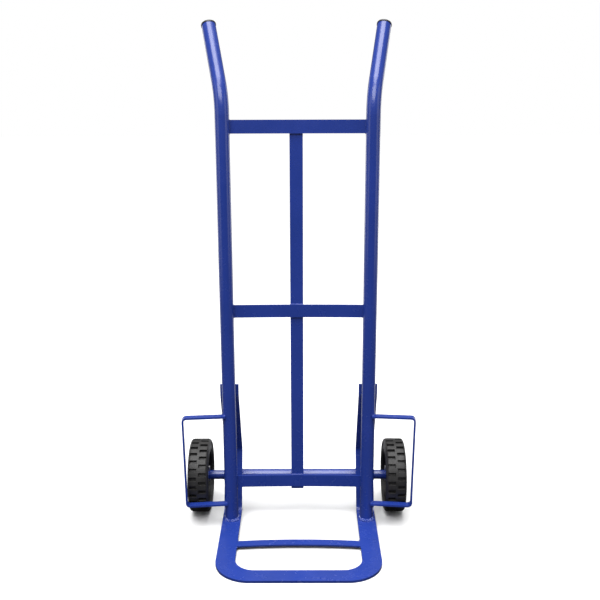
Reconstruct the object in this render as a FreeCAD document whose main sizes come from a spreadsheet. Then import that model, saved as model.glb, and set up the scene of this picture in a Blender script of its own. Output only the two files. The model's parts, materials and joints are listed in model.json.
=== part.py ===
"""Hand truck: two bent side tubes, flat cross bars, an open toe loop, rear braces, an axle and two wheels.

Axes: +X to the right, +Y to the back, +Z up. The floor is Z = 0, and the origin is the middle of the
truck's footprint. Distances to the back in the sheets, such as brace_apex_back, are counted from the
upright plane through both side tubes, and stand_shift is where that plane lies in the truck's own frame.
Lengths are in millimetres and angles in degrees.
"""
import FreeCAD, Part
import math
import os

import Sketcher

SIDES = (("left", -1), ("right", 1))

# Driving dimensions. Each one can be changed by itself.
SIZES = {
    # side tubes
    "tube_diameter": 35.0,
    "tube_wall": 2.0,
    "tube_half_spacing": 181.5,
    "bend_height": 1076.0,
    "bend_radius": 140.0,
    "handle_turn": 33.3,
    "handle_heading": 72.3,
    "handle_skew": 1.5,
    "handle_straight": 160.0,
    # plugs in the handle ends
    "plug_head": 4.5,
    "plug_lip": 1.0,
    "plug_rounding": 1.5,
    "plug_depth": 22.0,
    "plug_clearance": 0.1,
    # cross bars and the strap behind them
    "bar_height": 32.5,
    "bar_thickness": 5.0,
    "bar_setback": 5.0,
    "bar_bow": 5.0,
    "top_bar_height": 1047.5,
    "middle_bar_height": 589.5,
    "lower_bar_height": 120.5,
    "strap_width": 32.5,
    "strap_thickness": 5.0,
    "strap_offset": -4.0,
    "strap_below": 8.0,
    "strap_above": 8.0,
    # toe loop and its cross strip, both in a plane that slopes down to the front edge
    "toe_reach": 294.0,
    "toe_slope": 2.3,
    "toe_thickness": 6.0,
    "foot_trim": 60.0,
    "toe_arm_width": 48.5,
    "toe_front_width": 45.0,
    "toe_outer_radius": 88.0,
    "toe_inner_radius": 49.0,
    "toe_arm_behind": 24.0,
    "toe_strip_width": 25.0,
    "toe_strip_thickness": 4.0,
    "toe_strip_front": 143.5,
    "toe_strip_bow": 8.0,
    # rear braces
    "brace_width": 48.5,
    "brace_thickness": 6.0,
    "brace_top": 390.0,
    "brace_weld_length": 30.0,
    "brace_apex_back": 107.0,
    "brace_apex_height": 172.0,
    "brace_heel_back": 43.5,
    "brace_bend_radius": 18.0,
    # axle and sleeve
    "axle_diameter": 25.0,
    "sleeve_diameter": 31.0,
    "sleeve_clearance": 0.2,
    "sleeve_end_gap": 1.0,
    # wheels
    "wheel_radius": 100.0,
    "wheel_offset": 267.5,
    "axle_shift": -5.0,
    "tyre_width": 54.0,
    "tyre_shoulder": 9.0,
    "tyre_bore_radius": 70.0,
    "rim_wall": 5.0,
    "rim_inset": 3.0,
    "rim_web": 6.0,
    "rim_rib": 4.0,
    "rim_ribs": 8,
    "rim_rib_inset": 4.0,
    "hub_length": 36.0,
    "hub_wall": 6.0,
    "bush_wall": 3.0,
    "bush_length": 14.0,
    "running_clearance": 0.05,
    # washers and split pins on the axle
    "washer_diameter": 38.0,
    "washer_thickness": 2.5,
    "washer_clearance": 0.2,
    "end_play": 0.25,
    "pin_diameter": 4.0,
    "pin_hole_clearance": 0.1,
    "pin_tail": 5.0,
    "pin_eye": 4.0,
    "pin_eye_wire": 1.5,
    "axle_tail": 5.0,
    # wheel guards
    "guard_width": 20.0,
    "guard_thickness": 5.0,
    "guard_reach_top": 123.5,
    "guard_reach_bottom": 120.0,
    "guard_top": 312.2,
    "guard_bottom": 64.5,
    "guard_corner": 12.0,
    "guard_forward": 9.0,
    "guard_swing": 6.0,
    "guard_start": 10.0,
}

# Dimensions that follow from the driving ones, as formulas over the sheet above and over this one.
WORKED = {
    "tube_radius": "Sizes.tube_diameter / 2",
    "bore_radius": "tube_radius - Sizes.tube_wall",
    "plug_radius": "bore_radius - Sizes.plug_clearance",
    "plug_head_radius": "tube_radius + Sizes.plug_lip",
    "bend_tangent": "Sizes.bend_radius * tan(Sizes.handle_turn * 1 deg / 2)",
    "bend_corner_height": "Sizes.bend_height + bend_tangent",
    "handle_run": "bend_tangent + Sizes.handle_straight",
    "handle_out": "handle_run * sin(Sizes.handle_turn * 1 deg)",
    "handle_top": "bend_corner_height + handle_run * cos(Sizes.handle_turn * 1 deg)",
    "left_heading": "Sizes.handle_heading - Sizes.handle_skew",
    "left_heading_cos": "cos(left_heading * 1 deg)",
    "left_heading_sin": "sin(left_heading * 1 deg)",
    "right_heading": "Sizes.handle_heading + Sizes.handle_skew",
    "right_heading_cos": "cos(right_heading * 1 deg)",
    "right_heading_sin": "sin(right_heading * 1 deg)",
    "bar_arc_radius": "(pow(Sizes.tube_half_spacing; 2) + pow(Sizes.bar_bow; 2)) / (2 * Sizes.bar_bow)",
    "bar_arc_back_radius": "bar_arc_radius + Sizes.bar_thickness",
    "bar_arc_depth": "bar_arc_radius - Sizes.bar_setback - Sizes.bar_bow",
    "bar_back": "Sizes.bar_setback + Sizes.bar_bow + Sizes.bar_thickness",
    "strap_bottom": "Sizes.lower_bar_height - Sizes.bar_height / 2 - Sizes.strap_below",
    "strap_top": "Sizes.top_bar_height + Sizes.strap_above",
    "slope_sin": "sin(Sizes.toe_slope * 1 deg)",
    "slope_cos": "cos(Sizes.toe_slope * 1 deg)",
    "toe_length": "(Sizes.toe_reach + Sizes.toe_arm_behind) / slope_cos",
    "toe_outer": "Sizes.tube_half_spacing + Sizes.toe_arm_width / 2",
    "toe_inner": "Sizes.tube_half_spacing - Sizes.toe_arm_width / 2",
    "strip_front": "(Sizes.toe_reach - Sizes.toe_strip_front) / slope_cos",
    "strip_arc_radius": "(pow(toe_inner; 2) + pow(Sizes.toe_strip_bow; 2)) / (2 * Sizes.toe_strip_bow)",
    "strip_arc_back_radius": "strip_arc_radius + Sizes.toe_strip_width",
    "strip_arc_depth": "strip_arc_radius - strip_front - Sizes.toe_strip_bow",
    "brace_half_width": "Sizes.brace_width / 2",
    "brace_face": "tube_radius + Sizes.brace_thickness",
    "brace_middle": "tube_radius + Sizes.brace_thickness / 2",
    "brace_kink": "Sizes.brace_top - Sizes.brace_weld_length",
    "heel_height": "(Sizes.toe_reach + Sizes.brace_heel_back) * slope_sin / slope_cos"
                   " + Sizes.brace_thickness / 2 / slope_cos",
    "lip_end_back": "toe_length * slope_cos - Sizes.toe_reach - Sizes.brace_thickness / 2 * slope_sin",
    "lip_end_height": "toe_length * slope_sin + Sizes.brace_thickness / 2 * slope_cos",
    "brace_lean": "atan((Sizes.brace_apex_back - Sizes.brace_heel_back)"
                  " / (Sizes.brace_apex_height - heel_height)) / 1 deg",
    "axle_radius": "Sizes.axle_diameter / 2",
    "brace_at_axle": "Sizes.brace_heel_back + (Sizes.wheel_radius - heel_height) * tan(brace_lean * 1 deg)",
    "axle_back": "brace_at_axle + (Sizes.brace_thickness / 2 + axle_radius) / cos(brace_lean * 1 deg)",
    "stand_shift": "(Sizes.toe_reach + Sizes.toe_thickness * slope_sin"
                   " - axle_back - Sizes.wheel_radius) / 2",
    "sleeve_bore_radius": "axle_radius + Sizes.sleeve_clearance",
    "sleeve_half": "Sizes.tube_half_spacing - Sizes.brace_width / 2 - Sizes.sleeve_end_gap",
    "bush_bore_radius": "axle_radius + Sizes.running_clearance",
    "bush_radius": "bush_bore_radius + Sizes.bush_wall",
    "hub_radius": "bush_radius + Sizes.hub_wall",
    "rim_half": "Sizes.tyre_width / 2 - Sizes.rim_inset",
    "rim_inner_radius": "Sizes.tyre_bore_radius - Sizes.rim_wall",
    "tyre_half_width": "Sizes.tyre_width / 2",
    "web_half": "Sizes.rim_web / 2",
    "hub_half": "Sizes.hub_length / 2",
    "rib_half": "hub_half - Sizes.rim_rib_inset",
    "rib_root": "(bush_radius + hub_radius) / 2",
    "rib_tip": "rim_inner_radius + Sizes.rim_wall / 2",
    "washer_inner": "Sizes.wheel_offset - Sizes.hub_length / 2 - Sizes.end_play - Sizes.washer_thickness",
    "washer_outer": "Sizes.wheel_offset + Sizes.hub_length / 2 + Sizes.end_play",
    "pin_radius": "Sizes.pin_diameter / 2",
    "pin_reach": "axle_radius + Sizes.pin_tail",
    "pin_inner": "washer_inner - pin_radius",
    "pin_outer": "washer_outer + Sizes.washer_thickness + pin_radius",
    "axle_half": "pin_outer + pin_radius + Sizes.axle_tail",
    "guard_half_thickness": "Sizes.guard_thickness / 2",
    "guard_top_outside": "Sizes.guard_top + guard_half_thickness",
    "guard_top_inside": "Sizes.guard_top - guard_half_thickness",
    "guard_bottom_inside": "Sizes.guard_bottom + guard_half_thickness",
    "guard_bottom_outside": "Sizes.guard_bottom - guard_half_thickness",
    "guard_inside_top": "Sizes.guard_reach_top - Sizes.guard_thickness",
    "guard_inside_bottom": "Sizes.guard_reach_bottom - Sizes.guard_thickness",
    "guard_inner_corner": "Sizes.guard_corner - Sizes.guard_thickness",
}

doc = FreeCAD.newDocument("HandTruck")
Vector = FreeCAD.Vector
ORIGIN_POINT = (-1, 1)
HORIZONTAL_AXIS = -1
VERTICAL_AXIS = -2
START, END, CENTRE = 1, 2, 3


# ---------------------------------------------------------------- sheets and expressions

def fill_sheet(name, cells, prefix):
    """A spreadsheet with one aliased cell in column B for each entry."""
    sheet = doc.addObject("Spreadsheet::Sheet", name)
    for row, (alias, content) in enumerate(cells.items(), start=1):
        sheet.set(f"A{row}", alias)
        sheet.set(f"B{row}", f"{prefix}{content}")
        sheet.setAlias(f"B{row}", alias)
    return sheet


def cell(name):
    """How an expression names one cell of either sheet."""
    return f"Sizes.{name}" if name in SIZES else f"Worked.{name}"


def number(name):
    """The present value of a cell, "0", or the opposite of a cell when the name starts with a minus."""
    if name == "0":
        return 0.0
    if name.startswith("-"):
        return -number(name[1:])
    sheet = sizes if name in SIZES else worked
    return float(sheet.get(name))


def bind(target, **formulas):
    """Bind properties to formulas; a double underscore in a name stands for a dot."""
    for name, formula in formulas.items():
        target.setExpression(name.replace("__", "."), formula)


def turn(target, axis, formula):
    """Turn an object about one axis through its base point, by an angle in degrees."""
    target.Placement = FreeCAD.Placement(Vector(), FreeCAD.Rotation(axis, 1))
    bind(target, Placement__Rotation__Angle=f"({formula}) * 1 deg")


def place(target, across, back, up):
    """Put an object's base at formulas for X, the distance behind the side tubes' plane, and Z."""
    bind(target, Placement__Base__x=across, Placement__Base__y=f"Worked.stand_shift + ({back})",
         Placement__Base__z=up)


def signed(sign, formula):
    """A formula for one side of the truck."""
    return f"{sign} * ({formula})"


# ---------------------------------------------------------------- sketches

def add_body(label):
    body = doc.addObject("PartDesign::Body", label)
    body.Label = label
    return body


def add_sketch(body, name, plane_role, lift="0"):
    """A sketch on one of the body's origin planes, lifted off it by a named distance."""
    sketch = body.newObject("Sketcher::SketchObject", name)
    plane = next(feature for feature in body.Origin.OriginFeatures if feature.Role == plane_role)
    sketch.AttachmentSupport = [(plane, "")]
    sketch.MapMode = "FlatFace"
    if lift != "0":
        bind(sketch, AttachmentOffset__Base__z=cell(lift))
    return sketch


def constrain(sketch, kind, *references):
    return sketch.addConstraint(Sketcher.Constraint(kind, *references))


def constrain_to(sketch, formula, value, kind, *references):
    """A dimension whose value follows a formula; the value only starts it off."""
    index = constrain(sketch, kind, *references, value)
    sketch.setExpression(f"Constraints[{index}]", formula)


def fix_point(sketch, geometry, position, across, up):
    """Hold a point of the sketch at two named coordinates."""
    for kind, name, axis in (("DistanceX", across, VERTICAL_AXIS), ("DistanceY", up, HORIZONTAL_AXIS)):
        if name == "0":
            constrain(sketch, "PointOnObject", geometry, position, axis)
            continue
        point = (geometry, position)
        ends = point + ORIGIN_POINT if name.startswith("-") else ORIGIN_POINT + point
        constrain_to(sketch, cell(name.lstrip("-")), abs(number(name)), kind, *ends)


def draw_circle(sketch, radius, across="0", up="0"):
    circle = Part.Circle(Vector(number(across), number(up)), Vector(0, 0, 1), number(radius))
    index = sketch.addGeometry(circle)
    fix_point(sketch, index, CENTRE, across, up)
    constrain_to(sketch, cell(radius), number(radius), "Radius", index)


def draw_corner(sketch, corner, before, after, line_before, line_after):
    """Join two straight runs at a corner, with a tangent arc where the corner names a radius."""
    across, up, radius = corner
    place = Vector(number(across), number(up))
    if radius is None:
        constrain(sketch, "Coincident", line_before, END, line_after, START)
        fix_point(sketch, line_after, START, across, up)
        return
    turn_left = before.cross(after).z > 0
    inward = Vector(-before.y, before.x) if turn_left else Vector(before.y, -before.x)
    reach = number(radius) * math.tan(before.getAngle(after) / 2)
    centre = place - before * reach + inward * number(radius)
    ends = [place - before * reach - centre, place + after * reach - centre]
    if not turn_left:
        ends.reverse()
    first, last = (math.atan2(end.y, end.x) for end in ends)
    last += 2 * math.pi if last < first else 0
    circle = Part.Circle(centre, Vector(0, 0, 1), number(radius))
    arc = sketch.addGeometry(Part.ArcOfCircle(circle, first, last))
    entry, leave = (START, END) if turn_left else (END, START)
    constrain(sketch, "Tangent", line_before, END, arc, entry)
    constrain(sketch, "Tangent", arc, leave, line_after, START)
    constrain_to(sketch, cell(radius), number(radius), "Radius", arc)
    point = sketch.addGeometry(Part.Point(place), True)
    constrain(sketch, "PointOnObject", point, START, line_before)
    constrain(sketch, "PointOnObject", point, START, line_after)
    fix_point(sketch, point, START, across, up)


def draw_runs(sketch, corners, closed):
    """Straight runs through corners, each (across, up, radius or None), all of them named cells."""
    places = [Vector(number(across), number(up)) for across, up, _ in corners]
    if closed:
        places.append(places[0])
    runs = list(zip(places, places[1:]))
    ways = [(end - start).normalize() for start, end in runs]
    trims = [0.0] * len(places)
    joints = range(len(corners)) if closed else range(1, len(corners) - 1)
    for joint in joints:
        if corners[joint][2]:
            trims[joint] = number(corners[joint][2]) * math.tan(ways[joint - 1].getAngle(ways[joint]) / 2)
    trims[-1] = trims[0]
    lines = []
    for (start, end), way, near, far in zip(runs, ways, trims, trims[1:]):
        lines.append(sketch.addGeometry(Part.LineSegment(start + way * near, end - way * far)))
    for joint in joints:
        draw_corner(sketch, corners[joint], ways[joint - 1], ways[joint], lines[joint - 1], lines[joint])
    if not closed:
        fix_point(sketch, lines[0], START, *corners[0][:2])
        fix_point(sketch, lines[-1], END, *corners[-1][:2])


def draw_bowed_strip(sketch, half, centre, front_radius, back_radius):
    """A strip between two arcs about a centre in front of it, cut square at both ends."""
    arcs = []
    for radius in (front_radius, back_radius):
        spread = math.asin(number(half) / number(radius))
        circle = Part.Circle(Vector(0, number(centre)), Vector(0, 0, 1), number(radius))
        arc = sketch.addGeometry(Part.ArcOfCircle(circle, math.pi / 2 - spread, math.pi / 2 + spread))
        fix_point(sketch, arc, CENTRE, "0", centre)
        constrain_to(sketch, cell(radius), number(radius), "Radius", arc)
        arcs.append(arc)
    rise = [number(centre) + math.sqrt(number(radius) ** 2 - number(half) ** 2)
            for radius in (front_radius, back_radius)]
    for sign, position, name in ((1, START, half), (-1, END, f"-{half}")):
        ends = [Vector(sign * number(half), height) for height in rise]
        line = sketch.addGeometry(Part.LineSegment(*ends))
        constrain(sketch, "Coincident", arcs[0], position, line, START)
        constrain(sketch, "Coincident", arcs[1], position, line, END)
        constrain(sketch, "Vertical", line)
        point = (line, START)
        ends = ORIGIN_POINT + point if sign > 0 else point + ORIGIN_POINT
        constrain_to(sketch, cell(half), number(half), "DistanceX", *ends)


# ---------------------------------------------------------------- features and primitives

def pad(body, sketch, length):
    """Pad a sketch equally to both sides of its plane."""
    feature = body.newObject("PartDesign::Pad", f"{sketch.Name}Pad")
    feature.Profile = sketch
    feature.SideType = "Symmetric"
    bind(feature, Length=cell(length))
    sketch.Visibility = False
    return feature


def pocket_through(body, sketch):
    feature = body.newObject("PartDesign::Pocket", f"{sketch.Name}Pocket")
    feature.Profile = sketch
    feature.Type = "ThroughAll"
    feature.SideType = "Symmetric"
    cuts.append(feature)
    return feature


def pipe(body, profile, path):
    """Sweep a profile along every edge of a path sketch."""
    doc.recompute()
    feature = body.newObject("PartDesign::AdditivePipe", f"{path.Name}Pipe")
    feature.Profile = profile
    feature.Spine = (path, [f"Edge{index}" for index in range(1, len(path.Shape.Edges) + 1)])
    return feature


def revolve(body, sketch, axis):
    """Turn a sketch a full round about one of its own axes."""
    feature = body.newObject("PartDesign::Revolution", f"{sketch.Name}Revolution")
    feature.Profile = sketch
    feature.ReferenceAxis = (sketch, [axis])
    feature.Angle = 360
    return feature


def cut(label, base, tool):
    feature = doc.addObject("Part::Cut", label)
    feature.Label = label
    feature.Base = base
    feature.Tool = tool
    cuts.append(feature)
    return feature


def compound(label, members):
    group = doc.addObject("Part::Compound", label)
    group.Label = label
    group.Links = members
    return group


def rod(label, radius, length, start):
    """A cylinder along X on the axle line, from a given X."""
    cylinder = doc.addObject("Part::Cylinder", label)
    cylinder.Label = label
    turn(cylinder, Vector(0, 1, 0), "90")
    bind(cylinder, Radius=radius, Height=length)
    place(cylinder, start, cell("axle_back"), cell("wheel_radius"))
    return cylinder


def ring(label, radius, bore, length, start):
    """A plain ring on the axle line."""
    return cut(label, rod(f"{label}_blank", radius, length, start), rod(f"{label}_bore", bore, length, start))


# ---------------------------------------------------------------- frame

def build_foot_trimmer():
    """A block that fills everything under the toe loop's top plane, to trim the tube feet to it."""
    block = doc.addObject("Part::Box", "foot_trimmer")
    turn(block, Vector(1, 0, 0), cell("toe_slope"))
    bind(block, Length="2 * Worked.toe_outer", Width=cell("toe_length"),
         Height="Sizes.toe_thickness + Sizes.foot_trim")
    place(block, "-Worked.toe_outer", "Sizes.foot_trim * Worked.slope_sin - Sizes.toe_reach",
          "-Sizes.foot_trim * Worked.slope_cos")
    return block


def build_side_tube(side, sign, trimmer):
    """A tube that stands up from the toe loop and bends outwards and backwards into a handle.

    Both handles are bent a little round to the left, by handle_skew."""
    body = add_body(f"side_tube_{side}_bent")
    path = add_sketch(body, f"tube_path_{side}", "XZ_Plane")
    draw_runs(path, [("0", "0", None), ("0", "bend_corner_height", "bend_radius"),
                     ("handle_out", "handle_top", None)], closed=False)
    profile = add_sketch(body, f"tube_section_{side}", "XY_Plane")
    draw_circle(profile, "tube_radius")
    draw_circle(profile, "bore_radius")
    pipe(body, profile, path)
    heading = cell(f"{side}_heading")
    turn(body, Vector(0, 0, 1), heading if sign > 0 else f"180 - {heading}")
    place(body, signed(sign, cell("tube_half_spacing")), "0", "0")
    return cut(f"side_tube_{side}", body, trimmer)


def build_handle_plug(side, sign):
    """A plug with a rounded head, a little wider than the tube, that closes the handle's open end."""
    body = add_body(f"handle_plug_{side}")
    sketch = add_sketch(body, f"plug_outline_{side}", "XZ_Plane")
    draw_runs(sketch, [("0", "-plug_depth", None), ("plug_radius", "-plug_depth", None),
                       ("plug_radius", "0", None), ("plug_head_radius", "0", None),
                       ("plug_head_radius", "plug_head", "plug_rounding"), ("0", "plug_head", None)],
              closed=True)
    revolve(body, sketch, "V_Axis")
    turn(body, Vector(-1, sign, 0), cell("handle_turn"))
    bind(body, Placement__Rotation__Axis__x=f"-Worked.{side}_heading_sin",
         Placement__Rotation__Axis__y=signed(sign, cell(f"{side}_heading_cos")))
    place(body, signed(sign, f"Sizes.tube_half_spacing + Worked.handle_out * Worked.{side}_heading_cos"),
          f"Worked.handle_out * Worked.{side}_heading_sin", cell("handle_top"))
    return body


def build_cross_bar(name):
    """A flat bar on edge, bowed to the back, with its ends shaped to the side tubes."""
    body = add_body(f"{name}_cross_bar")
    strip = add_sketch(body, f"{name}_bar_outline", "XY_Plane")
    draw_bowed_strip(strip, "tube_half_spacing", "-bar_arc_depth", "bar_arc_radius", "bar_arc_back_radius")
    pad(body, strip, "bar_height")
    ends = add_sketch(body, f"{name}_bar_ends", "XY_Plane")
    draw_circle(ends, "tube_radius", across="tube_half_spacing")
    draw_circle(ends, "tube_radius", across="-tube_half_spacing")
    pocket_through(body, ends)
    place(body, "0", "0", cell(f"{name}_bar_height"))
    return body


def build_centre_strap():
    """The upright flat bar behind the three cross bars."""
    strap = doc.addObject("Part::Box", "centre_strap")
    bind(strap, Length=cell("strap_width"), Width=cell("strap_thickness"),
         Height="Worked.strap_top - Worked.strap_bottom")
    place(strap, "Sizes.strap_offset - Sizes.strap_width / 2", cell("bar_back"), cell("strap_bottom"))
    return strap


def set_on_toe_plane(body, rise):
    """Lay a body on the toe loop's sloping plane, which rises from the front edge on the floor."""
    turn(body, Vector(1, 0, 0), cell("toe_slope"))
    place(body, "0", f"-Sizes.toe_reach - ({rise}) * Worked.slope_sin", f"({rise}) * Worked.slope_cos")


def build_toe_loop():
    """The flat loop that carries the load, open at the back, with rounded front corners."""
    body = add_body("toe_loop")
    outline = add_sketch(body, "toe_outline", "XY_Plane")
    draw_runs(outline, [("-toe_outer", "toe_length", None), ("-toe_outer", "0", "toe_outer_radius"),
                        ("toe_outer", "0", "toe_outer_radius"), ("toe_outer", "toe_length", None),
                        ("toe_inner", "toe_length", None),
                        ("toe_inner", "toe_front_width", "toe_inner_radius"),
                        ("-toe_inner", "toe_front_width", "toe_inner_radius"),
                        ("-toe_inner", "toe_length", None)], closed=True)
    pad(body, outline, "toe_thickness")
    set_on_toe_plane(body, "Sizes.toe_thickness / 2")
    return body


def build_toe_cross_strip():
    """The narrow flat bar across the loop, level with the loop's top."""
    body = add_body("toe_cross_strip")
    outline = add_sketch(body, "toe_strip_outline", "XY_Plane")
    draw_bowed_strip(outline, "toe_inner", "-strip_arc_depth", "strip_arc_radius", "strip_arc_back_radius")
    pad(body, outline, "toe_strip_thickness")
    set_on_toe_plane(body, "Sizes.toe_thickness - Sizes.toe_strip_thickness / 2")
    return body


def build_rear_brace(side, sign):
    """A flat bar from the back of the tube to an apex behind it and down to the heel of the loop."""
    body = add_body(f"rear_brace_{side}")
    path = add_sketch(body, f"brace_path_{side}", "YZ_Plane")
    draw_runs(path, [("brace_middle", "brace_top", None),
                     ("brace_middle", "brace_kink", "brace_bend_radius"),
                     ("brace_apex_back", "brace_apex_height", "brace_bend_radius"),
                     ("brace_heel_back", "heel_height", "brace_bend_radius"),
                     ("lip_end_back", "lip_end_height", None)], closed=False)
    section = add_sketch(body, f"brace_section_{side}", "XY_Plane", lift="brace_top")
    draw_runs(section, [("-brace_half_width", "tube_radius", None), ("brace_half_width", "tube_radius", None),
                        ("brace_half_width", "brace_face", None), ("-brace_half_width", "brace_face", None)],
              closed=True)
    pipe(body, section, path)
    place(body, signed(sign, cell("tube_half_spacing")), "0", "0")
    return body


def build_wheel_guard(side, sign):
    """A flat strip bent to a U that reaches round the front of a wheel from the side of the tube."""
    body = add_body(f"wheel_guard_{side}_blank")
    outline = add_sketch(body, f"guard_outline_{side}", "XZ_Plane")
    draw_runs(outline, [("guard_start", "guard_top_outside", None),
                        ("guard_reach_top", "guard_top_outside", "guard_corner"),
                        ("guard_reach_bottom", "guard_bottom_outside", "guard_corner"),
                        ("guard_start", "guard_bottom_outside", None),
                        ("guard_start", "guard_bottom_inside", None),
                        ("guard_inside_bottom", "guard_bottom_inside", "guard_inner_corner"),
                        ("guard_inside_top", "guard_top_inside", "guard_inner_corner"),
                        ("guard_start", "guard_top_inside", None)], closed=True)
    pad(body, outline, "guard_width")
    swing = cell("guard_swing")
    turn(body, Vector(0, 0, 1), f"-{swing}" if sign > 0 else f"180 + {swing}")
    place(body, signed(sign, cell("tube_half_spacing")), "-Sizes.guard_forward", "0")
    envelope = doc.addObject("Part::Cylinder", f"tube_envelope_{side}")
    bind(envelope, Radius=cell("tube_radius"), Height="2 * Sizes.guard_top")
    place(envelope, signed(sign, cell("tube_half_spacing")), "0", "0")
    return cut(f"wheel_guard_{side}", body, envelope)


# ---------------------------------------------------------------- axle and its fasteners

def on_axle(across):
    """An X counted from the middle of the axle, which is welded in a little to one side."""
    return f"{across} + Sizes.axle_shift"


def build_pin_cylinder(label, across, radius, reach):
    """An upright cylinder through the axle at a given X, reaching as far below the axle as above it."""
    cylinder = doc.addObject("Part::Cylinder", label)
    bind(cylinder, Radius=radius, Height=f"2 * ({reach})")
    place(cylinder, across, cell("axle_back"), f"Sizes.wheel_radius - ({reach})")
    return cylinder


def pin_places():
    """The X of each split pin: one inside and one outside each wheel."""
    return {f"{side}_{end}": on_axle(signed(sign, cell(f"pin_{end}")))
            for side, sign in SIDES for end in ("inner", "outer")}


def build_axle():
    """The round bar through both wheels, drilled for four split pins."""
    bar = rod("axle_bar", cell("axle_radius"), "2 * Worked.axle_half", on_axle("-Worked.axle_half"))
    holes = [build_pin_cylinder(f"pin_hole_{name}", across, "Worked.pin_radius + Sizes.pin_hole_clearance",
                                cell("axle_diameter"))
             for name, across in pin_places().items()]
    return cut("axle", bar, compound("pin_holes", holes))


def build_split_pins():
    """Four split pins, each a shank with a round eye on top."""
    pins = []
    for name, across in pin_places().items():
        shank = build_pin_cylinder(f"pin_shank_{name}", across, cell("pin_radius"), cell("pin_reach"))
        eye = doc.addObject("Part::Torus", f"pin_eye_{name}")
        turn(eye, Vector(0, 1, 0), "90")
        bind(eye, Radius1=cell("pin_eye"), Radius2=cell("pin_eye_wire"))
        place(eye, across, cell("axle_back"), "Sizes.wheel_radius + Worked.pin_reach + Sizes.pin_eye")
        pin = doc.addObject("Part::Fuse", f"pin_{name}")
        pin.Base = shank
        pin.Tool = eye
        pins.append(pin)
    return compound("split_pins", pins)


def build_wheel_washers():
    """A flat washer against each face of each hub."""
    washers = []
    for side, sign in SIDES:
        for end in ("inner", "outer"):
            edge = cell(f"washer_{end}")
            start = edge if sign > 0 else f"-{edge} - Sizes.washer_thickness"
            washers.append(ring(f"washer_{side}_{end}", "Sizes.washer_diameter / 2",
                                "Worked.axle_radius + Sizes.washer_clearance",
                                cell("washer_thickness"), on_axle(start)))
    return compound("wheel_washers", washers)


def build_axle_sleeve():
    """The tube round the axle between the two braces."""
    return ring("axle_sleeve", "Sizes.sleeve_diameter / 2", cell("sleeve_bore_radius"),
                "2 * Worked.sleeve_half", "-Worked.sleeve_half")


# ---------------------------------------------------------------- wheels

def centre_on_wheel(body, sign):
    place(body, on_axle(signed(sign, cell("wheel_offset"))), cell("axle_back"), cell("wheel_radius"))


def build_tyre(side, sign):
    """A solid rubber ring with rounded shoulders."""
    body = add_body(f"tyre_{side}")
    outline = add_sketch(body, f"tyre_outline_{side}", "XZ_Plane")
    draw_runs(outline, [("-tyre_half_width", "tyre_bore_radius", None),
                        ("tyre_half_width", "tyre_bore_radius", None),
                        ("tyre_half_width", "wheel_radius", "tyre_shoulder"),
                        ("-tyre_half_width", "wheel_radius", "tyre_shoulder")], closed=True)
    revolve(body, outline, "H_Axis")
    centre_on_wheel(body, sign)
    return body


def build_rim(side, sign):
    """A barrel, a web and a hub in one piece, stiffened by ribs on both faces of the web."""
    body = add_body(f"rim_{side}")
    outline = add_sketch(body, f"rim_outline_{side}", "XZ_Plane")
    draw_runs(outline, [("-rim_half", "tyre_bore_radius", None), ("-rim_half", "rim_inner_radius", None),
                        ("-web_half", "rim_inner_radius", None), ("-web_half", "hub_radius", None),
                        ("-hub_half", "hub_radius", None), ("-hub_half", "bush_radius", None),
                        ("hub_half", "bush_radius", None), ("hub_half", "hub_radius", None),
                        ("web_half", "hub_radius", None), ("web_half", "rim_inner_radius", None),
                        ("rim_half", "rim_inner_radius", None), ("rim_half", "tyre_bore_radius", None)],
              closed=True)
    revolve(body, outline, "H_Axis")
    rib = add_sketch(body, f"rib_outline_{side}", "XZ_Plane")
    draw_runs(rib, [("-rib_half", "rib_root", None), ("rib_half", "rib_root", None),
                    ("rib_half", "rib_tip", None), ("-rib_half", "rib_tip", None)], closed=True)
    rib_pad = pad(body, rib, "rim_rib")
    doc.recompute()
    ribs = body.newObject("PartDesign::PolarPattern", f"rib_pattern_{side}")
    ribs.Originals = [rib_pad]
    ribs.Axis = (rib, ["H_Axis"])
    ribs.Angle = 360
    bind(ribs, Occurrences=cell("rim_ribs"))
    body.Tip = ribs
    centre_on_wheel(body, sign)
    return body


def build_bushes(side, sign):
    """Two plain bushes, one pressed in from each end of the hub."""
    inner = "Sizes.wheel_offset - Worked.hub_half"
    outer = "Sizes.wheel_offset + Worked.hub_half - Sizes.bush_length"
    bushes = []
    for end, start in (("inner", inner), ("outer", outer)):
        first = start if sign > 0 else f"-({start}) - Sizes.bush_length"
        bushes.append(ring(f"wheel_bush_{side}_{end}", cell("bush_radius"), cell("bush_bore_radius"),
                           cell("bush_length"), on_axle(first)))
    return bushes


# ---------------------------------------------------------------- assembly

def build_hand_truck():
    """Every sub-part of the truck, each an object whose label is its node's name."""
    trimmer = build_foot_trimmer()
    nodes = [build_cross_bar(name) for name in ("top", "middle", "lower")]
    nodes += [build_centre_strap(), build_toe_loop(), build_toe_cross_strip()]
    nodes += [build_axle(), build_axle_sleeve(), build_wheel_washers(), build_split_pins()]
    for side, sign in SIDES:
        nodes += [build_side_tube(side, sign, trimmer), build_handle_plug(side, sign),
                  build_rear_brace(side, sign), build_wheel_guard(side, sign),
                  build_tyre(side, sign), build_rim(side, sign)]
        nodes += build_bushes(side, sign)
    return nodes


def check_model(nodes):
    """Stop if an object failed, a cut removed nothing, or a sub-part's shape is empty or invalid."""
    for item in doc.Objects:
        if {"Invalid", "Error"} & set(item.State):
            raise RuntimeError(f"{item.Label} failed: {item.State}")
    for feature in cuts:
        before = feature.BaseFeature if feature.isDerivedFrom("PartDesign::Feature") else feature.Base
        if feature.Shape.Volume >= before.Shape.Volume:
            raise RuntimeError(f"{feature.Label} removed nothing")
    for node in nodes:
        if node.Shape.isNull() or not node.Shape.isValid() or node.Shape.Volume <= 0:
            raise RuntimeError(f"{node.Label} has no valid shape")


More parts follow.
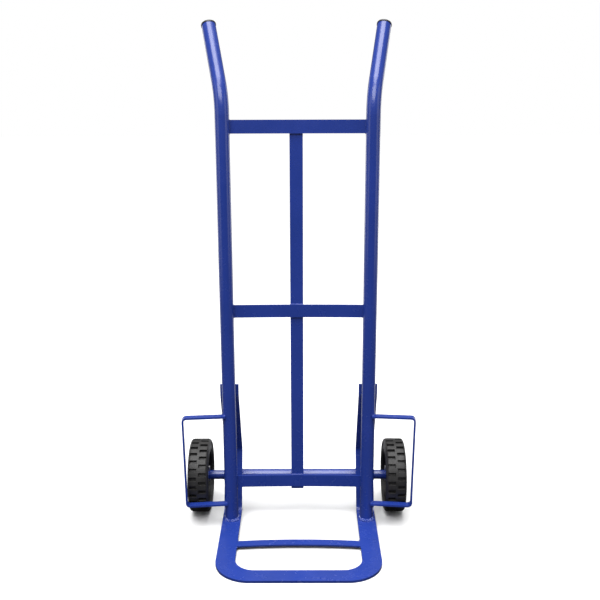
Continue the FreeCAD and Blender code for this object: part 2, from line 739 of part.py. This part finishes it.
def write_parts(nodes):
    os.makedirs("parts", exist_ok=True)
    for node in nodes:
        node.Shape.exportStep(f"parts/{node.Label}.step")


cuts = []
sizes = fill_sheet("Sizes", SIZES, "")
worked = fill_sheet("Worked", WORKED, "=")
doc.recompute()
truck = build_hand_truck()
doc.recompute()
check_model(truck)
write_parts(truck)
box = Part.makeCompound([node.Shape for node in truck]).optimalBoundingBox(False, False)
print(f"{len(truck)} nodes, {box.XLength:.1f} x {box.YLength:.1f} x {box.ZLength:.1f} mm,"
      f" base {box.ZMin:.2f}, back {box.YMax:.1f}, front {box.YMin:.1f}")
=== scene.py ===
import json
import math

import bpy
from mathutils import Matrix, Vector, noise


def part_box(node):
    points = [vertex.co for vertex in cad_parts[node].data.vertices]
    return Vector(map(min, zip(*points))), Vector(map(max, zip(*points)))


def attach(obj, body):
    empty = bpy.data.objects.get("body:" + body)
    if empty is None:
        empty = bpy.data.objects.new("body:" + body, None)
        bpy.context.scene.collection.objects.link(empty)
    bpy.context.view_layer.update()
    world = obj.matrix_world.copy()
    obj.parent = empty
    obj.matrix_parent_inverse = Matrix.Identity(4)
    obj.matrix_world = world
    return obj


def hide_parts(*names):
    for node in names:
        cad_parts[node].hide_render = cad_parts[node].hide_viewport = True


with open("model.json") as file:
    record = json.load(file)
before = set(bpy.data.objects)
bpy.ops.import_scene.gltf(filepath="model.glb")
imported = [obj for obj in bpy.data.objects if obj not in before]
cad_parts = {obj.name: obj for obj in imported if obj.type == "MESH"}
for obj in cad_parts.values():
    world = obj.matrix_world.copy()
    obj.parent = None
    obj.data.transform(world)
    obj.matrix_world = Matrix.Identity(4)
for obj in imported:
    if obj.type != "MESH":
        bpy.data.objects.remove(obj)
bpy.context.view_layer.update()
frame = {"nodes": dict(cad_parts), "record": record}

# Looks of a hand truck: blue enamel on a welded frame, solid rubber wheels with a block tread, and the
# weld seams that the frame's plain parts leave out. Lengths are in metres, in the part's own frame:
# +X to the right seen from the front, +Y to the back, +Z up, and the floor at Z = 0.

SIDES = {"left": -1, "right": 1}
BARS = ("top", "middle", "lower")

# Stock sizes of the frame, which place the weld seams.
TUBE_RADIUS = 0.0175
BAR_THICKNESS = 0.005
TOE_THICKNESS = 0.006
GUARD_THICKNESS = 0.005


# ---------------------------------------------------------------- materials

class Shading:
    """A material's node tree, with short calls for the nodes that these materials share."""

    def __init__(self, name):
        self.material = bpy.data.materials.new(name)
        self.material.use_nodes = True
        self.nodes = self.material.node_tree.nodes
        self.shader = self.nodes["Principled BSDF"]
        self.place = self.nodes.new("ShaderNodeTexCoord").outputs["Object"]

    def link(self, source, target):
        self.material.node_tree.links.new(source, target)

    def stretched(self, scale):
        """Object coordinates in metres, multiplied by a scale for each axis."""
        mapping = self.nodes.new("ShaderNodeMapping")
        mapping.inputs["Scale"].default_value = scale
        self.link(self.place, mapping.inputs["Vector"])
        return mapping.outputs["Vector"]

    def noise(self, per_metre, detail=3.0, roughness=0.5, place=None):
        """Soft noise with about this many features in a metre."""
        texture = self.nodes.new("ShaderNodeTexNoise")
        texture.inputs["Scale"].default_value = per_metre
        texture.inputs["Detail"].default_value = detail
        texture.inputs["Roughness"].default_value = roughness
        self.link(place or self.place, texture.inputs["Vector"])
        return texture.outputs["Fac"]

    def cells(self, per_metre):
        """Distance to the nearest of many scattered points, for pits and grain."""
        texture = self.nodes.new("ShaderNodeTexVoronoi")
        texture.inputs["Scale"].default_value = per_metre
        self.link(self.place, texture.inputs["Vector"])
        return texture.outputs["Distance"]

    def ramp(self, value, stops):
        """Colours along a value from 0 to 1: stops are (position, colour)."""
        ramp = self.nodes.new("ShaderNodeValToRGB")
        elements = ramp.color_ramp.elements
        while len(elements) < len(stops):
            elements.new(0.5)
        for element, (position, colour) in zip(elements, stops):
            element.position = position
            element.color = (*colour, 1.0)
        self.link(value, ramp.inputs["Fac"])
        return ramp.outputs["Color"]

    def mix(self, amount, first, second):
        """One colour over another by an amount from a texture."""
        mix = self.nodes.new("ShaderNodeMix")
        mix.data_type = "RGBA"
        self.link(amount, mix.inputs["Factor"])
        for socket, colour in (("A", first), ("B", second)):
            target = next(i for i in mix.inputs if i.name == socket and i.type == "RGBA")
            if isinstance(colour, tuple):
                target.default_value = (*colour, 1.0)
            else:
                self.link(colour, target)
        return next(o for o in mix.outputs if o.type == "RGBA")

    def spread(self, value, low, high, start=0.3, end=0.7):
        """A texture value brought into the range from low to high."""
        spread = self.nodes.new("ShaderNodeMapRange")
        for socket, number in (("From Min", start), ("From Max", end), ("To Min", low), ("To Max", high)):
            spread.inputs[socket].default_value = number
        self.link(value, spread.inputs["Value"])
        return spread.outputs["Result"]

    def bump(self, height, depth, strength=1.0, below=None):
        """Relief of this depth in metres, laid over the relief below it."""
        bump = self.nodes.new("ShaderNodeBump")
        bump.inputs["Strength"].default_value = strength
        bump.inputs["Distance"].default_value = depth
        self.link(height, bump.inputs["Height"])
        if below is not None:
            self.link(below, bump.inputs["Normal"])
        return bump.outputs["Normal"]

    def finish(self, colour, roughness, normal, **sockets):
        """Plug the textures in, and set the values that are the same all over on the shader itself."""
        self.link(colour, self.shader.inputs["Base Color"])
        self.link(roughness, self.shader.inputs["Roughness"])
        self.link(normal, self.shader.inputs["Normal"])
        for name, value in sockets.items():
            self.shader.inputs[name.replace("_", " ")].default_value = value
        return self.material


def enamel(name, light, dark, peel_depth):
    """Sprayed gloss enamel: broad drifts of thicker and thinner paint, orange peel and faint scuffs."""
    look = Shading(name)
    drift = look.noise(9.0, detail=4.0)
    paint = look.mix(look.spread(drift, 0.0, 1.0), dark, light)
    scuffs = look.noise(1.0, detail=6.0, roughness=0.7, place=look.stretched((260.0, 90.0, 34.0)))
    dusty = tuple(0.8 * channel + 0.04 for channel in light)
    paint = look.mix(look.spread(scuffs, 0.0, 0.12, start=0.64, end=0.8), paint, dusty)
    gloss = look.spread(look.noise(55.0, detail=5.0), 0.2, 0.3)
    peel = look.bump(look.noise(420.0, detail=1.0), peel_depth)
    runs = look.bump(look.noise(1.0, detail=2.0, place=look.stretched((60.0, 60.0, 9.0))), 0.0004, 0.35, peel)
    return look.finish(paint, gloss, runs, Coat_Weight=0.35, Coat_Roughness=0.12, Specular_IOR_Level=0.55)


def rubber():
    """Moulded black rubber: matt, a little grey with dust, with a fine grain."""
    look = Shading("tyre_rubber")
    patches = look.noise(38.0, detail=6.0, roughness=0.65)
    colour = look.ramp(patches, [(0.3, (0.011, 0.0105, 0.0105)), (0.7, (0.026, 0.025, 0.0245))])
    specks = look.noise(900.0, detail=2.0)
    colour = look.mix(look.spread(specks, 0.0, 0.25, start=0.6, end=0.75), colour, (0.1, 0.097, 0.093))
    grain = look.bump(look.cells(1400.0), 0.00012, 0.6)
    waves = look.bump(look.noise(160.0, detail=4.0), 0.0003, 0.5, grain)
    return look.finish(colour, look.spread(patches, 0.4, 0.56), waves, Specular_IOR_Level=0.5)


def moulded_plastic(name, light, dark, grain_depth, roughness):
    """Injection-moulded plastic with a fine leather-like grain."""
    look = Shading(name)
    colour = look.mix(look.spread(look.noise(30.0, detail=4.0), 0.0, 1.0), dark, light)
    grain = look.bump(look.cells(1100.0), grain_depth, 0.7)
    flow = look.bump(look.noise(24.0, detail=2.0), 0.0005, 0.3, grain)
    shine = look.spread(look.noise(120.0, detail=3.0), roughness - 0.06, roughness + 0.06)
    return look.finish(colour, shine, flow)


def zinc():
    """Zinc-plated steel: a spangle of slightly different greys, with fine drawn lines."""
    look = Shading("zinc_steel")
    colour = look.ramp(look.noise(260.0, detail=5.0), [(0.3, (0.38, 0.39, 0.41)), (0.7, (0.62, 0.62, 0.63))])
    lines = look.noise(1.0, detail=3.0, place=look.stretched((2600.0, 300.0, 300.0)))
    relief = look.bump(lines, 0.00006, 0.6)
    return look.finish(colour, look.spread(lines, 0.24, 0.46), relief, Metallic=1.0)


materials = {
    "blue_paint": enamel("blue_paint", (0.018, 0.047, 0.31), (0.0135, 0.040, 0.270), 0.00012),
    "tyre_rubber": rubber(),
    "rim_plastic": moulded_plastic("rim_plastic", (0.02, 0.02, 0.021), (0.011, 0.011, 0.012), 0.0001, 0.42),
    "plug_plastic": moulded_plastic("plug_plastic", (0.021, 0.021, 0.022), (0.012, 0.012, 0.013),
                                    0.0001, 0.36),
    "bush_plastic": moulded_plastic("bush_plastic", (0.62, 0.61, 0.57), (0.52, 0.51, 0.47), 0.00006, 0.4),
    "zinc_steel": zinc(),
}


def wear(obj, slot):
    """Give an object one material for all of its faces."""
    obj.data.materials.clear()
    obj.data.materials.append(materials[slot])


# ---------------------------------------------------------------- parts that come from the frame

EDGE_ROUNDING = {"blue_paint": 0.0007, "rim_plastic": 0.0006, "zinc_steel": 0.0002, "bush_plastic": 0.0003}


def dress_frame_parts():
    """Put each part's own material on it and break its sharp edges a little."""
    for part in frame["record"]["subparts"]:
        node = frame["nodes"][part["node"]]
        wear(node, part["material_slot"])
        rounding = EDGE_ROUNDING.get(part["material_slot"])
        if rounding:
            bevel = node.modifiers.new("broken_edges", "BEVEL")
            bevel.width = rounding
            bevel.segments = 2
            bevel.limit_method = "ANGLE"
            bevel.angle_limit = math.radians(40.0)
            bevel.harden_normals = True


# ---------------------------------------------------------------- meshes

def new_object(name, vertices, faces, slot, body):
    """A smooth-shaded mesh object that wears a material slot and rides on a body."""
    mesh = bpy.data.meshes.new(name)
    mesh.from_pydata(vertices, [], faces)
    mesh.validate()
    mesh.update()
    mesh.shade_smooth()
    obj = bpy.data.objects.new(name, mesh)
    bpy.context.scene.collection.objects.link(obj)
    wear(obj, slot)
    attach(obj, body)
    return obj


# ---------------------------------------------------------------- tyres

LUG_PITCHES = 27
SLOT_SHARE = 0.42          # of a pitch along the tread
SLOT_WALL_SHARE = 0.03     # of a pitch, the slope of a slot's end wall
TREAD_DEPTH = 0.007
CENTRE_RIB = 0.0064
SHOULDER_RIB = 0.0045
SLOT_SIDE_SLOPE = 0.0006
TYRE_SHOULDER = 0.008
SIDEWALL_DISH = 0.0022
SHOULDER_STEPS = 6


def tyre_profile(half_width, bore, radius):
    """The tyre's closed section as (across, radius, row): row is -1 or 1 where tread slots may be cut."""
    row_inner = CENTRE_RIB / 2
    row_outer = half_width - SHOULDER_RIB
    half = []
    for across in (0.0, row_inner - SLOT_SIDE_SLOPE):
        half.append((across, radius, 0))
    shoulder_start = half_width - TYRE_SHOULDER
    for across in (row_inner, (row_inner + shoulder_start) / 2, shoulder_start):
        half.append((across, radius, 1))
    for step in range(1, SHOULDER_STEPS + 1):
        angle = math.radians(90.0) * step / SHOULDER_STEPS
        across = shoulder_start + TYRE_SHOULDER * math.sin(angle)
        height = radius - TYRE_SHOULDER * (1 - math.cos(angle))
        half.append((across, height, 1 if across < row_outer else 0))
    wall = radius - TYRE_SHOULDER - bore
    for share, dish in ((0.08, 0.0), (0.16, 1.0), (0.5, 1.0), (0.62, 0.75), (0.72, 0.0), (0.94, 0.0)):
        half.append((half_width - SIDEWALL_DISH * dish, radius - TYRE_SHOULDER - wall * share, 0))
    half.append((half_width - 0.0012, bore, 0))
    mirrored = [(-across, height, -row) for across, height, row in reversed(half[1:])]
    return half + mirrored


def slot_cut(share, row):
    """How deep a tread slot is, from 0 to 1, at a share of the pitch in one of the two rows."""
    if row == 0:
        return 0.0
    start = 0.0 if row > 0 else 0.5
    inside = (share - start) % 1.0
    return 1.0 if SLOT_WALL_SHARE <= inside + 1e-9 and inside <= SLOT_SHARE - SLOT_WALL_SHARE + 1e-9 else 0.0


def tread_stations():
    """Shares of a pitch where the tread's section is set: the edges and the middle of both rows' slots."""
    edges = []
    for start in (0.0, 0.5):
        edges += [start, start + SLOT_WALL_SHARE, start + SLOT_SHARE / 2,
                  start + SLOT_SHARE - SLOT_WALL_SHARE, start + SLOT_SHARE]
    return edges


def make_tyre(side, sign):
    """A solid rubber tyre with two staggered rows of slots round its tread."""
    low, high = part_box(f"tyre_{side}")
    rim_low, rim_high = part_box(f"rim_{side}")
    bore = (rim_high.z - rim_low.z) / 2
    centre = (low + high) / 2
    profile = tyre_profile((high.x - low.x) / 2, bore, (high.z - low.z) / 2)
    stations = [(pitch, share) for pitch in range(LUG_PITCHES) for share in tread_stations()]
    vertices = []
    for pitch, share in stations:
        angle = math.tau * (pitch + share) / LUG_PITCHES
        for across, radius, row in profile:
            reach = radius - TREAD_DEPTH * slot_cut(share, row)
            place = Vector((sign * across, reach * math.cos(angle), reach * math.sin(angle)))
            vertices.append(centre + place)
    faces = loop_faces(len(stations), len(profile), sign > 0)
    tyre = new_object(f"block_tread_tyre_{side}", vertices, faces, "tyre_rubber", f"{side}_wheel")
    bevel = tyre.modifiers.new("moulded_edges", "BEVEL")
    bevel.width = 0.0005
    bevel.segments = 2
    bevel.angle_limit = math.radians(35.0)
    bevel.harden_normals = True
    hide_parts(f"tyre_{side}")


def loop_faces(rings, points, flip):
    """Quads of a surface that closes both ways: round its section and round its rings."""
    faces = []
    for ring in range(rings):
        for point in range(points):
            near, far = ring * points, (ring + 1) % rings * points
            following = (point + 1) % points
            quad = (near + point, near + following, far + following, far + point)
            faces.append(quad[::-1] if flip else quad)
    return faces


# ---------------------------------------------------------------- weld seams

BEAD_STEP = 0.0008
BEAD_SIDES = 10
RIPPLE_LENGTH = 0.0028
RIPPLE_HEIGHT = 0.12       # of the bead's radius
LUMPS_PER_METRE = 260.0

# Radius of each kind of bead.
BAR_BEAD = 0.0019
STRAP_SIDE_BEAD = 0.0016
STRAP_TOP_BEAD = 0.0026
FOOT_BEAD = 0.0042
FOOT_FRONT_BEAD = 0.0034
STRIP_BEAD = 0.0028
GUARD_BEAD = 0.0019
BRACE_BEAD = 0.0022
HEEL_BEAD = 0.0018
AXLE_BEAD = 0.0024

BRACE_WELD_LENGTH = 0.0265
BRACE_WELD_HALF_SPACING = 0.0065


class Welds:
    """Many weld beads gathered in one mesh."""

    def __init__(self):
        self.vertices = []
        self.faces = []

    def bead(self, corners, radius, closed=False, rough=0.25):
        """A rippled bead along straight runs between corners."""
        path = resample(corners, closed)
        first = len(self.vertices)
        for index, point in enumerate(path):
            before = path[index - 1] if index or closed else point
            after = path[(index + 1) % len(path)] if closed or index + 1 < len(path) else point
            along = (after - before).normalized()
            sideways = along.orthogonal().normalized()
            upward = along.cross(sideways)
            ripple = RIPPLE_HEIGHT * math.cos(math.tau * index * BEAD_STEP / RIPPLE_LENGTH)
            lumps = rough * noise.noise(point * LUMPS_PER_METRE)
            size = radius * (1.0 + ripple + lumps)
            if not closed:
                size *= min(1.0, 0.35 + 0.3 * min(index, len(path) - 1 - index))
            for side in range(BEAD_SIDES):
                angle = math.tau * side / BEAD_SIDES
                self.vertices.append(point + size * (math.cos(angle) * sideways + math.sin(angle) * upward))
        self.skin(first, len(path), closed)

    def skin(self, first, rings, closed):
        """Faces of one bead, with its ends closed."""
        for ring in range(rings if closed else rings - 1):
            near, far = first + ring * BEAD_SIDES, first + (ring + 1) % rings * BEAD_SIDES
            for side in range(BEAD_SIDES):
                following = (side + 1) % BEAD_SIDES
                self.faces.append((near + side, near + following, far + following, far + side))
        if not closed:
            self.faces.append(tuple(range(first + BEAD_SIDES - 1, first - 1, -1)))
            last = first + (rings - 1) * BEAD_SIDES
            self.faces.append(tuple(range(last, last + BEAD_SIDES)))

    def make(self, name):
        return new_object(name, self.vertices, self.faces, "blue_paint", "frame")


def resample(corners, closed):
    """Points one bead step apart along straight runs between corners."""
    runs = list(zip(corners, corners[1:] + corners[:1])) if closed else list(zip(corners, corners[1:]))
    path = []
    for start, end in runs:
        steps = max(1, round((end - start).length / BEAD_STEP))
        path += [start.lerp(end, step / steps) for step in range(steps)]
    return path if closed else path + [corners[-1]]


def ring_x(centre, radius, count=48):
    """A circle round the X axis."""
    return [centre + Vector((0.0, radius * math.cos(math.tau * step / count),
                             radius * math.sin(math.tau * step / count))) for step in range(count)]


def tube_axis(sign):
    """Where a side tube's upright stretch stands, as (X, Y)."""
    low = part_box("side_tube_right")[0]
    return sign * (low.x + TUBE_RADIUS), low.y + TUBE_RADIUS


def weld_cross_bars():
    """Each cross bar is welded to both tubes all round its ends, and tacked to the strap behind it."""
    welds = Welds()
    strap_low, strap_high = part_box("centre_strap")
    for bar in BARS:
        low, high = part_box(f"{bar}_cross_bar")
        for sign in SIDES.values():
            axis_x, axis_y = tube_axis(sign)
            corners = []
            for y, z in ((low.y, low.z), (low.y, high.z),
                         (low.y + BAR_THICKNESS, high.z), (low.y + BAR_THICKNESS, low.z)):
                reach = math.sqrt(TUBE_RADIUS ** 2 - (y - axis_y) ** 2)
                corners.append(Vector((axis_x - sign * reach, y, z)))
            welds.bead(corners, BAR_BEAD, closed=True)
        for x in (strap_low.x, strap_high.x):
            y = strap_low.y + 0.0006
            top = min(high.z, strap_high.z) - 0.003
            welds.bead([Vector((x, y, low.z + 0.003)), Vector((x, y, top))], STRAP_SIDE_BEAD)
        if high.z < strap_high.z:
            y = strap_low.y - 0.0012
            welds.bead([Vector((strap_low.x - 0.001, y, high.z)), Vector((strap_high.x, y, high.z))],
                       STRAP_TOP_BEAD, rough=0.5)
    welds.make("cross_bar_welds")


def toe_top(y):
    """Height of the toe loop's upper face, which rises from its front edge to the back."""
    low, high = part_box("toe_loop")
    return low.z + TOE_THICKNESS + (high.z - low.z - TOE_THICKNESS) * (y - low.y) / (high.y - low.y)


def around_tube(sign, start, end, height, gap=0.0, count=60):
    """Points round a side tube, by angles from straight outwards that grow to the back. The height is a
    function of Y."""
    axis_x, axis_y = tube_axis(sign)
    reach = TUBE_RADIUS + gap
    points = []
    for step in range(count + 1):
        angle = math.radians(start + (end - start) * step / count)
        y = axis_y + reach * math.sin(angle)
        points.append(Vector((axis_x + sign * reach * math.cos(angle), y, height(y))))
    return points


def weld_toe_loop():
    """The tubes stand on the toe loop with a heavy bead round each foot, laid twice at the front, and the
    cross strip is welded in level with the loop's top."""
    welds = Welds()
    strip_low, strip_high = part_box("toe_cross_strip")
    for sign in SIDES.values():
        foot = around_tube(sign, 0.0, 360.0, lambda y: toe_top(y) + 0.0004)[:-1]
        welds.bead(foot, FOOT_BEAD, closed=True, rough=0.7)
        welds.bead(around_tube(sign, -150.0, -35.0, toe_top, gap=0.004), FOOT_FRONT_BEAD, rough=1.1)
        for y in (strip_low.y - 0.0004, strip_high.y + 0.0004):
            corner = Vector((sign * strip_high.x, y, toe_top(y) - 0.0014))
            welds.bead([corner, corner - Vector((0.0, 0.0, 0.003))], STRIP_BEAD)
    welds.make("toe_loop_welds")


def weld_guards():
    """Each guard arm is welded to its tube above and below."""
    welds = Welds()
    for side, sign in SIDES.items():
        low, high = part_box(f"wheel_guard_{side}")
        for z in (low.z, low.z + GUARD_THICKNESS, high.z - GUARD_THICKNESS, high.z):
            welds.bead(around_tube(sign, -56.0, -4.0, lambda y, z=z: z), GUARD_BEAD, rough=0.4)
    welds.make("guard_welds")


def weld_braces():
    """Each brace is welded to the back of its tube along both sides, and to the toe loop's end across it."""
    welds = Welds()
    loop_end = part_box("toe_loop")[1]
    for side, sign in SIDES.items():
        low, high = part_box(f"rear_brace_{side}")
        axis_x, axis_y = tube_axis(sign)
        groove_y = axis_y + TUBE_RADIUS - 0.0008
        top = high.z - 0.0015
        for x in (axis_x - BRACE_WELD_HALF_SPACING, axis_x + BRACE_WELD_HALF_SPACING):
            welds.bead([Vector((x, groove_y, top - BRACE_WELD_LENGTH)), Vector((x, groove_y, top))],
                       BRACE_BEAD, rough=0.4)
        heel = [Vector((x, loop_end.y, loop_end.z)) for x in (low.x + 0.001, high.x - 0.001)]
        welds.bead(heel, HEEL_BEAD, rough=0.4)
    welds.make("brace_welds")


def weld_axle():
    """The braces are welded to the axle on both of their sides, which also joins the sleeve between them."""
    welds = Welds()
    low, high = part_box("axle")
    radius = (high.z - low.z) / 2
    centre = (low + high) / 2
    for side in SIDES:
        brace_low, brace_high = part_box(f"rear_brace_{side}")
        for x in (brace_low.x, brace_high.x):
            ring = ring_x(Vector((x, centre.y, centre.z)), radius + 0.001)
            welds.bead(ring, AXLE_BEAD, closed=True, rough=0.4)
    welds.make("axle_welds")


# ---------------------------------------------------------------- studio

# Floor colours that only the truck sees, for light bounced onto it: painted shade in front, painted light
# behind.
FLOOR_PAINTED_SHADE = (0.07, 0.07, 0.075)
SWEEP_PAINTED_LIGHT = (0.5, 0.5, 0.53)
SWEEP_START, SWEEP_FULL = 0.4, 1.0     # along Y, where the painted light on the floor behind the truck starts and where it is full


def make_floor():
    """A plain pale floor that runs out of the picture. For the truck its colour is painted shade in front
    and painted light behind, as in a studio where only the sweep behind the object is lit white."""
    look = Shading("studio_floor")
    pale = look.ramp(look.noise(3.0, detail=2.0), [(0.3, (0.91, 0.91, 0.91)), (0.7, (0.94, 0.94, 0.94))])
    split = look.nodes.new("ShaderNodeSeparateXYZ")
    look.link(look.place, split.inputs["Vector"])
    sweep_painted_light_mask = look.spread(split.outputs["Y"], 0.0, 1.0, start=SWEEP_START, end=SWEEP_FULL)
    # Painted shade in front of the truck and painted light behind it, in the floor's colour for all but
    # camera rays.
    painted_bounce_light = look.mix(sweep_painted_light_mask, FLOOR_PAINTED_SHADE, SWEEP_PAINTED_LIGHT)
    seen = look.nodes.new("ShaderNodeLightPath").outputs["Is Camera Ray"]
    look.link(look.mix(seen, painted_bounce_light, pale), look.shader.inputs["Base Color"])
    look.shader.inputs["Roughness"].default_value = 0.9
    look.shader.inputs["Specular IOR Level"].default_value = 0.0
    bpy.ops.mesh.primitive_plane_add(size=60.0, location=(0.0, 0.0, -0.0004))
    floor = bpy.context.object
    floor.name = "studio_floor"
    floor.data.materials.append(look.material)


LIGHT_TARGET = Vector((0.0, 0.0, 0.6))


def make_light(name, location, size, power):
    """A soft rectangular light that faces the middle of the truck."""
    light = bpy.data.lights.new(name, "AREA")
    light.shape = "RECTANGLE"
    light.size, light.size_y = size
    light.energy = power
    obj = bpy.data.objects.new(name, light)
    obj.location = location
    obj.rotation_euler = (LIGHT_TARGET - obj.location).to_track_quat("-Z", "Y").to_euler()
    bpy.context.scene.collection.objects.link(obj)


def white_room(light_strength):
    """A world that looks white behind the truck and lights it more weakly."""
    world = bpy.data.worlds.new("white_room")
    world.use_nodes = True
    nodes, links = world.node_tree.nodes, world.node_tree.links
    lighting = nodes["Background"]
    lighting.inputs["Color"].default_value = (1.0, 1.0, 1.0, 1.0)
    lighting.inputs["Strength"].default_value = light_strength
    backdrop = nodes.new("ShaderNodeBackground")
    backdrop.inputs["Color"].default_value = (1.0, 1.0, 1.0, 1.0)
    seen = nodes.new("ShaderNodeLightPath").outputs["Is Camera Ray"]
    mix = nodes.new("ShaderNodeMixShader")
    links.new(seen, mix.inputs["Fac"])
    links.new(lighting.outputs["Background"], mix.inputs[1])
    links.new(backdrop.outputs["Background"], mix.inputs[2])
    links.new(mix.outputs["Shader"], nodes["World Output"].inputs["Surface"])
    bpy.context.scene.world = world


def make_lights():
    """Soft light from overhead, from high in front and weakly from all round, in a white room."""
    make_light("overhead_softbox", (0.0, 0.2, 3.0), (2.2, 2.2), 20.0)
    make_light("front_softbox", (-0.4, -1.9, 2.7), (2.4, 1.2), 44.0)
    for side, sign in SIDES.items():
        make_light(f"{side}_softbox", (2.4 * sign, -0.9, 1.3), (1.5, 2.4), 9.0)
        make_light(f"rear_{side}_softbox", (2.2 * sign, 2.4, 1.2), (1.2, 2.0), 12.0)
    make_light("rear_top_softbox", (0.3, 2.0, 3.2), (2.0, 1.2), 16.0)
    sun = bpy.data.lights.new("even_skylight", "SUN")
    sun.energy = 3.1
    sun.angle = math.radians(50.0)
    sky = bpy.data.objects.new("even_skylight", sun)
    sky.rotation_euler = (math.radians(12.0), 0.0, math.radians(-12.0))
    bpy.context.scene.collection.objects.link(sky)
    white_room(0.22)
    bpy.context.scene.view_settings.view_transform = "Standard"


CAMERA_PLACE = (0.0112, -2.0132, 1.0945)
CAMERA_DROP = 14.38        # degrees below level
CAMERA_TURN = 0.195        # degrees, counter-clockwise from above
CAMERA_ROLL = 0.172        # degrees, clockwise
CAMERA_LENS = 50.26
CAMERA_SHIFT = 0.0353      # of the picture's height


def make_camera():
    """The camera stands in front at about chest height and looks a little down."""
    camera = bpy.data.cameras.new("front_camera")
    camera.lens = CAMERA_LENS
    camera.shift_y = CAMERA_SHIFT
    obj = bpy.data.objects.new("front_camera", camera)
    turn = Matrix.Rotation(math.radians(CAMERA_TURN), 3, "Z")
    drop = Matrix.Rotation(math.radians(90.0 - CAMERA_DROP), 3, "X")
    roll = Matrix.Rotation(-math.radians(CAMERA_ROLL), 3, "Z")
    obj.rotation_euler = (turn @ drop @ roll).to_euler()
    obj.location = CAMERA_PLACE
    bpy.context.scene.collection.objects.link(obj)
    bpy.context.scene.camera = obj


dress_frame_parts()
for side, sign in SIDES.items():
    make_tyre(side, sign)
weld_cross_bars()
weld_toe_loop()
weld_guards()
weld_braces()
weld_axle()
make_floor()
make_lights()
make_camera()
